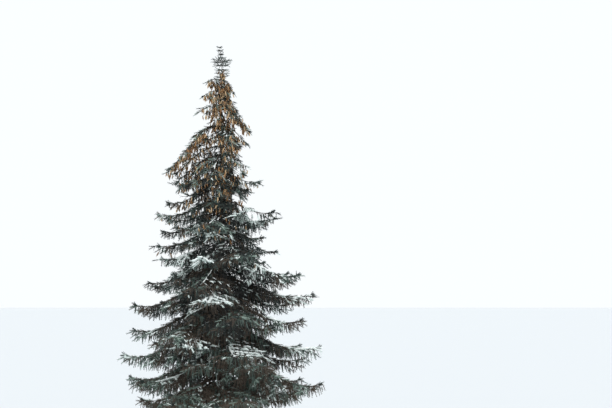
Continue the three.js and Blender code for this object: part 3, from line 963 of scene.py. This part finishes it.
@functools.cache
def shoot_tree():
    """Needle shoots on points: a slim core with needles that spiral round it and lean forwards."""
    inputs = {
        "Needle length": 0.048,
        "Needle width": 0.0096,
        "Needle lean": 0.8,
        "Core radius": 0.012,
        "Bend": 0.35,
        "Needle": "Object",
        "Seed": 1,
    }
    tree, given = geometry_tree("needle shoots", inputs)
    needle = shape_of(tree, given["Needle"])
    width = given["Needle width"]
    rotation = aimed_at_random(tree, given["Seed"])
    grown = []
    for number, (length, needles) in enumerate(SHOOTS):
        line = evenly_spaced(tree, needles, (length / needles, 0, 0))
        long = math_node(tree, "MULTIPLY", given["Needle length"], random_value(tree, 0.7, 1.1, number))
        size = combined(tree, long, width, width)
        round_it = repeated(tree, line, needle, spiral(tree, given["Needle lean"]), size)
        whole = joined(tree, core(tree, given["Core radius"], length), round_it)
        real = add_node(tree, "GeometryNodeRealizeInstances", {"Geometry": whole})
        # The further along the shoot, the more it bends
        along = add_node(tree, "ShaderNodeSeparateXYZ", {0: add_node(tree, "GeometryNodeInputPosition")})
        bow = math_node(tree, "MULTIPLY", math_node(tree, "POWER", along, 2.0), given["Bend"])
        bent = moved(tree, real, combined(tree, 0.0, 0.0, bow))
        kinds = {2: attribute(tree, "kind", "INT"), 3: number}
        chosen = add_node(tree, "FunctionNodeCompare", kinds, data_type="INT", operation="EQUAL")
        grown.append(repeated(tree, given["Geometry"], bent, rotation, attribute(tree, "size"), chosen))
    return close_tree(tree, given, joined(tree, *grown))


@functools.cache
def twig_tree():
    """Round twigs along chains of edges, as thick as their points say."""
    tree, given = geometry_tree("twigs", {"Sides": 4})
    chain = add_node(tree, "GeometryNodeMeshToCurve", {"Mesh": given["Geometry"]})
    circle = add_node(tree, "GeometryNodeCurvePrimitiveCircle", {"Resolution": given["Sides"], "Radius": 1.0})
    radius = attribute(tree, "radius", "FLOAT")
    inputs = {"Curve": chain, "Profile Curve": circle, "Scale": radius, "Fill Caps": True}
    return close_tree(tree, given, add_node(tree, "GeometryNodeCurveToMesh", inputs))


@functools.cache
def cone_tree():
    """Ripe cones along X on points: a slim core in overlapping scales that all point at the cone's tip."""
    inputs = {
        "Cone length": 0.145,
        "Core radius": 0.009,
        "Scale length": 0.047,
        "Scale width": 0.031,
        "Scale lean": 0.42,
        "Scales": 18,
        "Scale": "Object",
        "Seed": 3,
    }
    tree, given = geometry_tree("spruce cones", inputs)
    length, width, count = given["Scale length"], given["Scale width"], given["Scales"]
    scaly = math_node(tree, "SUBTRACT", given["Cone length"], length)
    line = evenly_spaced(tree, count, combined(tree, math_node(tree, "DIVIDE", scaly, count), 0.0, 0.0))
    # A cone is thickest before its middle: the scales' size is 1 - 1.3 (share - 0.4) squared
    share = math_node(tree, "DIVIDE", add_node(tree, "GeometryNodeInputIndex"), count)
    squared = math_node(tree, "POWER", math_node(tree, "SUBTRACT", share, 0.4), 2.0)
    swell = math_node(tree, "SUBTRACT", 1.0, math_node(tree, "MULTIPLY", squared, 1.3))
    size = vector_math(tree, "SCALE", combined(tree, length, width, width), swell)
    scales = repeated(tree, line, shape_of(tree, given["Scale"]), spiral(tree, given["Scale lean"]), size)
    whole = joined(tree, core(tree, given["Core radius"], given["Cone length"]), scales)
    rotation = aimed_at_random(tree, given["Seed"])
    cones = repeated(tree, given["Geometry"], whole, rotation, attribute(tree, "size"))
    return close_tree(tree, given, cones)


@functools.cache
def snow_tree():
    """Caps of snow on points: low, uneven mounds that lie along the twig or shoot under them."""
    sizes = {"Cap length": 0.085, "Cap width": 0.034, "Cap height": 0.022, "Unevenness": 0.018}
    tree, given = geometry_tree("snow caps", {**sizes, "Cap": "Object"})
    turn = {"Rotation": aimed(tree), "Vector": (0, 0, 1)}
    upright = add_node(tree, "FunctionNodeAlignRotationToVector", turn, axis="Z", pivot_axis="X")
    shape = combined(tree, given["Cap length"], given["Cap width"], given["Cap height"])
    cap = {"Geometry": shape_of(tree, given["Cap"]), "Scale": shape}
    low = add_node(tree, "GeometryNodeTransform", cap)
    caps = repeated(tree, given["Geometry"], low, upright, attribute(tree, "size"))
    real = add_node(tree, "GeometryNodeRealizeInstances", {"Geometry": caps})
    wobble = add_node(tree, "ShaderNodeTexNoise", {"Scale": 1000 / SNOW_BUMP_MILLIMETRES, "Detail": 1.0}, 1)
    centred = vector_math(tree, "SUBTRACT", wobble, (0.5, 0.5, 0.5))
    uneven = moved(tree, real, vector_math(tree, "SCALE", centred, given["Unevenness"]))
    return close_tree(tree, given, smooth(tree, uneven))


@functools.cache
def relief_tree():
    """Moves a limb's skin in and out along its normals by the plates and cracks of its bark."""
    tree, given = geometry_tree("bark relief", {"Plate size": 0.045, "Relief": 0.006, "Rise": 1.0})
    flat = vector_math(tree, "MULTIPLY", add_node(tree, "GeometryNodeInputPosition"), PLATE_STRETCH)
    density = math_node(tree, "DIVIDE", 1.0, given["Plate size"])
    plates = add_node(tree, "ShaderNodeTexVoronoi", {"Vector": flat, "Scale": density})
    depth = math_node(tree, "MULTIPLY", math_node(tree, "SUBTRACT", RAISED_DISTANCE, plates), given["Relief"])
    offset = vector_math(tree, "SCALE", add_node(tree, "GeometryNodeInputNormal"), depth)
    limited = vector_math(tree, "MULTIPLY", offset, combined(tree, 1.0, 1.0, given["Rise"]))
    return close_tree(tree, given, smooth(tree, moved(tree, given["Geometry"], limited)))


# Materials


def dull_material(name, roughness):
    """A new material, and the inputs of its shader."""
    material = bpy.data.materials.new(name)
    material.use_nodes = True
    shader = material.node_tree.nodes["Principled BSDF"].inputs
    shader["Roughness"].default_value = roughness
    return material, shader


def plain_material(name, hex_colour, roughness):
    """A material of one base colour, for pieces whose tints are dealt out one by one."""
    material, shader = dull_material(name, roughness)
    shader["Base Color"].default_value = colour(hex_colour)
    return material


def bark_material(name, plate, colours):
    """Weathered spruce bark: dry, flaking plates with lichen-grey faces, and dark cracks."""
    material, shader = dull_material(name, 0.92)
    tree = material.node_tree
    place = add_node(tree, "ShaderNodeTexCoord", output="Object")
    flat = add_node(tree, "ShaderNodeMapping", {"Vector": place, "Scale": PLATE_STRETCH})
    plates = add_node(tree, "ShaderNodeTexVoronoi", {"Vector": flat, "Scale": 1 / plate})
    face = math_node(tree, "SUBTRACT", 1.0, plates)
    flakes = {"Vector": flat, "Scale": 1000 / GRAIN_MILLIMETRES, "Detail": 5.0}
    grain = add_node(tree, "ShaderNodeTexNoise", flakes)
    blend = add_node(tree, "ShaderNodeMix", {0: 0.5, 2: face, 3: grain}, data_type="FLOAT")
    ramp = add_node(tree, "ShaderNodeValToRGB", {"Fac": blend})
    stops = ramp.node.color_ramp.elements
    stops.new(BARK_STOPS[1])
    for stop, position, hex_colour in zip(stops, BARK_STOPS, colours):
        stop.position = position
        stop.color = colour(hex_colour)
    bump = add_node(tree, "ShaderNodeBump", {"Height": blend, "Distance": 0.004, "Strength": 0.8})
    tree.links.new(ramp, shader["Base Color"])
    tree.links.new(bump, shader["Normal"])
    return material


# Bark in relief


def skin_mesh(name, rings):
    """A closed mesh through rings of points, with flat ends. The rings run from the root to the tip."""
    count, sides = len(rings), len(rings[0])
    points = np.concatenate([*rings, [rings[0].mean(0)], [rings[-1].mean(0)]])
    faces = []
    for i in range(count - 1):
        for j in range(sides):
            k = (j + 1) % sides
            faces.append((i * sides + j, i * sides + k, (i + 1) * sides + k, (i + 1) * sides + j))
    last = (count - 1) * sides
    for j in range(sides):
        k = (j + 1) % sides
        faces.append((k, j, count * sides))
        faces.append((last + j, last + k, count * sides + 1))
    return mesh_of(name, points, (), faces)


def trunk_rings(sides, spacing):
    """Rings of the trunk's skin, close together up to the lowest boughs and wider apart inside the crown."""
    angles = np.linspace(0, 2 * math.pi, sides, endpoint=False)
    around = np.stack((np.cos(angles), np.sin(angles), np.zeros(sides)), axis=1)
    low = np.arange(0, TIERS[-1][0] + 0.4, spacing)
    high = np.arange(low[-1] + 5 * spacing, TRUNK_TOP, 5 * spacing)
    heights = [*low, *high, TRUNK_TOP]
    return [trunk_axis(z) + around * trunk_radius(z, angles)[:, None] for z in heights]


def limb_rings(handles, radii, spacing):
    """Rings of a limb's skin, from inside the trunk to where the limb enters its mass of foliage."""
    angles = np.linspace(0, 2 * math.pi, LIMB_SIDES, endpoint=False)
    count = max(8, round(curve_length(handles) * (LIMB_SHARE - LIMB_START) / spacing))
    rings = []
    for i in range(count + 1):
        middle, ahead, right = frame_at(handles, mix(LIMB_START, LIMB_SHARE, i / count))
        above = np.cross(right, ahead)
        radius = mix(*radii, i / count)
        rings.append(middle + radius * (np.cos(angles)[:, None] * right - np.sin(angles)[:, None] * above))
    return rings


# What a user can change


def setting(name, description, default, **more):
    """A property of the type of its default: a number, a count or a text."""
    kinds = {float: bpy.props.FloatProperty, int: bpy.props.IntProperty, str: bpy.props.StringProperty}
    return kinds[type(default)](name=name, description=description, default=default, **more)


def metres(name, description, default):
    return setting(name, description, default, unit="LENGTH")


def factor(name, description, default):
    return setting(name, description, default, subtype="FACTOR")


class BarkSettings(bpy.types.PropertyGroup):
    ring_sides: setting("Trunk sides", "Points round the trunk", 56, min=12)
    ring_spacing: metres("Ring spacing", "Between two rings of the lower trunk", 0.018)
    relief: metres("Relief", "How far the bark's plates stand out of its cracks", 0.026)
    plate: metres("Plate size", "Width of a plate of bark", 0.042)


class CrownSettings(bpy.types.PropertyGroup):
    seed: setting("Seed", "Another seed grows another crown", 40)
    companion_vigour: factor("Lesser vigour", "How full a lesser bough is beside a main one", 0.85)
    first_side_twig: factor("First side twig", "Share of a bough that is bare at its foot", 0.17)
    side_twig_gap: metres("Side twig gap", "Between two side twigs of one hand", 0.25)
    side_twig_share: factor("Side twig length", "Longest side twig over the bough's length", 0.42)
    branchlet_gap: metres("Branchlet gap", "Between two hanging branchlets", 0.125)
    inner_twig_gap: metres("Inner twig gap", "Up the trunk between two short, shaded twigs", 0.05)
    hang_low: metres("Hang at the foot", "How far branchlets hang low down", 0.52)
    hang_top: metres("Hang at the top", "How far branchlets hang near the top", 0.11)
    ground_gap: metres("Ground gap", "Least height of a branchlet over the ground", 0.25)
    snow_gap: metres("Snow gap", "Along a bough between two caps of snow", 0.06)
    snow_cover: factor("Snow cover", "How often snow lies on a twig that can hold it", 0.75)


class StageSettings(bpy.types.PropertyGroup):
    distance: metres("Distance", "Camera to the trunk", EYE_DISTANCE)
    pixel: metres("Pixel", "Size at the trunk of one pixel of a picture 612 wide", 0.0271)
    sky: setting("Sky", "Strength of the even, overcast light", 1.05)
    zenith: setting("Zenith", "Strength of the wide, soft light from the brighter sky overhead", 1.5)
    floor: setting("Floor", "Colour of the floor, as sRGB hex", "#cbcfd2")


# Operators


@functools.cache
def grown_crown():
    return Crown(bpy.context.scene.spruce_crown)


def grow_pieces(kind, tint, tree, values):
    """Grows the piece of a kind and tint in each zone that has any. Needles replace the zone's masses."""
    for zone in ZONES:
        name = "_".join(filter(None, (kind, zone, tint)))
        rows = grown_crown().rows.get(name)
        if rows:
            piece = grown_mesh(name, points_mesh(name, rows), tree, values)
            dress(piece, masses_of(zone) if kind == "needles" else ())


class SPRUCE_OT_bark(bpy.types.Operator):
    """Grow the trunk and the bare limbs in relief"""

    bl_idname = "spruce.bark"
    bl_label = "Trunk and limbs"

    def execute(self, context):
        bark = context.scene.spruce_bark
        material = bark_material("spruce bark, weathered", bark.plate, BARK_COLOURS)
        young = bark_material("spruce bark, young limb", bark.plate / YOUNG_PLATE, BARK_COLOURS)
        values = {"Plate size": bark.plate, "Relief": bark.relief, "Rise": 0.0, "Material": material}
        mesh = skin_mesh("trunk_bark", trunk_rings(bark.ring_sides, bark.ring_spacing))
        dress(grown_mesh("trunk_bark", mesh, relief_tree(), values), ["trunk"])
        plate, relief = bark.plate / YOUNG_PLATE, bark.relief / YOUNG_RELIEF
        values = {"Plate size": plate, "Relief": relief, "Rise": 1.0, "Material": young}
        for bough in main_boughs():
            if bough["tier"] < len(TIERS) - LIMB_TIERS:
                continue
            root = STEM_ROOT * bough["length"] + ROOT_RADIUS
            radii = (LIMB_SWELL[0] * root, LIMB_SWELL[1] * mix(root, STEM_TIP_RADIUS, LIMB_SHARE))
            name = f"limb_bark_{bough['name']}"
            mesh = skin_mesh(name, limb_rings(bough["handles"], radii, bark.ring_spacing))
            dress(grown_mesh(name, mesh, relief_tree(), values), [f"bough_{bough['name']}"])
        return {"FINISHED"}


class SPRUCE_OT_twigs(bpy.types.Operator):
    """Grow the boughs inside the foliage and their side twigs"""

    bl_idname = "spruce.twigs"
    bl_label = "Boughs and twigs"

    def execute(self, context):
        material = bark_material("spruce twig bark, scaly", TWIG_PLATE, TWIG_COLOURS)
        for zone, twigs in grown_crown().twigs.items():
            name = f"twigs_{zone}"
            dress(grown_mesh(name, chain_mesh(name, twigs), twig_tree(), {"Material": material}))
        return {"FINISHED"}


class SPRUCE_OT_needles(bpy.types.Operator):
    """Grow the needle shoots, each tint of each zone as a piece"""

    bl_idname = "spruce.needles"
    bl_label = "Needles"

    def execute(self, context):
        for number, (tint, hex_colour) in enumerate(TINTS):
            # Waxy, stiff needles: a dull sheen, and a coat of rime on the frosted ones
            material = plain_material(f"spruce needles, {tint.replace('_', ' ')}", hex_colour, 0.6)
            values = {"Material": material, "Seed": number, "Needle": needle_blade()}
            grow_pieces("needles", tint, shoot_tree(), values)
        return {"FINISHED"}


class SPRUCE_OT_cones(bpy.types.Operator):
    """Hang the ripe cones, each tint of each zone as a piece"""

    bl_idname = "spruce.cones"
    bl_label = "Cones"

    def execute(self, context):
        for number, (tint, hex_colour) in enumerate(CONE_TINTS):
            # Dry, papery cone scales: no gloss
            material = plain_material(f"spruce cone scales, {tint}", hex_colour, 0.8)
            values = {"Material": material, "Seed": number, "Scale": cone_scale_blade()}
            grow_pieces("cones", tint, cone_tree(), values)
        return {"FINISHED"}


class SPRUCE_OT_snow(bpy.types.Operator):
    """Lay snow on the upper sides of the boughs"""

    bl_idname = "spruce.snow"
    bl_label = "Snow"

    def execute(self, context):
        # Dry powder snow: white, faintly green in the photo's light, dull
        material = plain_material("snow, dry powder", "#f6fcfa", 0.7)
        grow_pieces("snow", None, snow_tree(), {"Material": material, "Cap": snow_cap_blade()})
        return {"FINISHED"}


class SPRUCE_OT_stage(bpy.types.Operator):
    """Set the floor, the overcast light and the camera"""

    bl_idname = "spruce.stage"
    bl_label = "Stage"

    def execute(self, context):
        scene = context.scene
        stage = scene.spruce_stage
        corners = [(x * FLOOR_HALF, y * FLOOR_HALF, 0) for x, y in ((-1, -1), (1, -1), (1, 1), (-1, 1))]
        mesh = mesh_of("floor", corners, (), [(0, 1, 2, 3)])
        mesh.materials.append(plain_material("floor, pale", stage.floor, 0.9))
        add_object("floor", mesh)

        world = bpy.data.worlds.new("overcast sky")
        world.use_nodes = True
        sky = world.node_tree.nodes["Background"].inputs
        sky["Color"].default_value = colour(SKY_COLOUR)
        sky["Strength"].default_value = stage.sky
        scene.world = world
        scene.view_settings.view_transform = "Standard"

        overhead = bpy.data.lights.new("bright sky overhead", "SUN")
        overhead.energy = stage.zenith
        overhead.angle = SUN_WIDTH
        add_object("bright sky overhead", overhead).rotation_euler = (SUN_TILT, 0, 0)

        camera = bpy.data.cameras.new("camera")
        camera.lens = camera.sensor_width * stage.distance / (PHOTO_WIDTH * stage.pixel)
        camera.clip_end = SIGHT
        pitch = math.atan((EYE_PIXEL - PHOTO_HEIGHT / 2) * stage.pixel / stage.distance)
        scene.camera = add_object("camera", camera)
        scene.camera.location = eye_at(stage.pixel, stage.distance)
        scene.camera.rotation_euler = (math.pi / 2 + pitch, 0, 0)
        return {"FINISHED"}


class SPRUCE_PT_panel(bpy.types.Panel):
    """Lists the steps that grow the tree"""

    bl_idname = "SPRUCE_PT_panel"
    bl_label = "Spruce"
    bl_space_type = "VIEW_3D"
    bl_region_type = "UI"
    bl_category = "Spruce"

    def draw(self, context):
        for step in STEPS:
            self.layout.operator(step.bl_idname)
        for key, group in GROUPS.items():
            for name in group.__annotations__:
                self.layout.prop(getattr(context.scene, key), name)


STEPS = (SPRUCE_OT_bark, SPRUCE_OT_twigs, SPRUCE_OT_needles, SPRUCE_OT_cones, SPRUCE_OT_snow, SPRUCE_OT_stage)
GROUPS = {"spruce_bark": BarkSettings, "spruce_crown": CrownSettings, "spruce_stage": StageSettings}


def register():
    for kind in (*GROUPS.values(), *STEPS, SPRUCE_PT_panel):
        bpy.utils.register_class(kind)
    for name, group in GROUPS.items():
        setattr(bpy.types.Scene, name, bpy.props.PointerProperty(type=group))


def unregister():
    for name in GROUPS:
        delattr(bpy.types.Scene, name)
    for kind in reversed((*GROUPS.values(), *STEPS, SPRUCE_PT_panel)):
        bpy.utils.unregister_class(kind)


def main():
    register()
    bpy.ops.spruce.bark()
    bpy.ops.spruce.twigs()
    bpy.ops.spruce.needles()
    bpy.ops.spruce.cones()
    bpy.ops.spruce.snow()
    bpy.ops.spruce.stage()


if __name__ == "__main__":
    main()
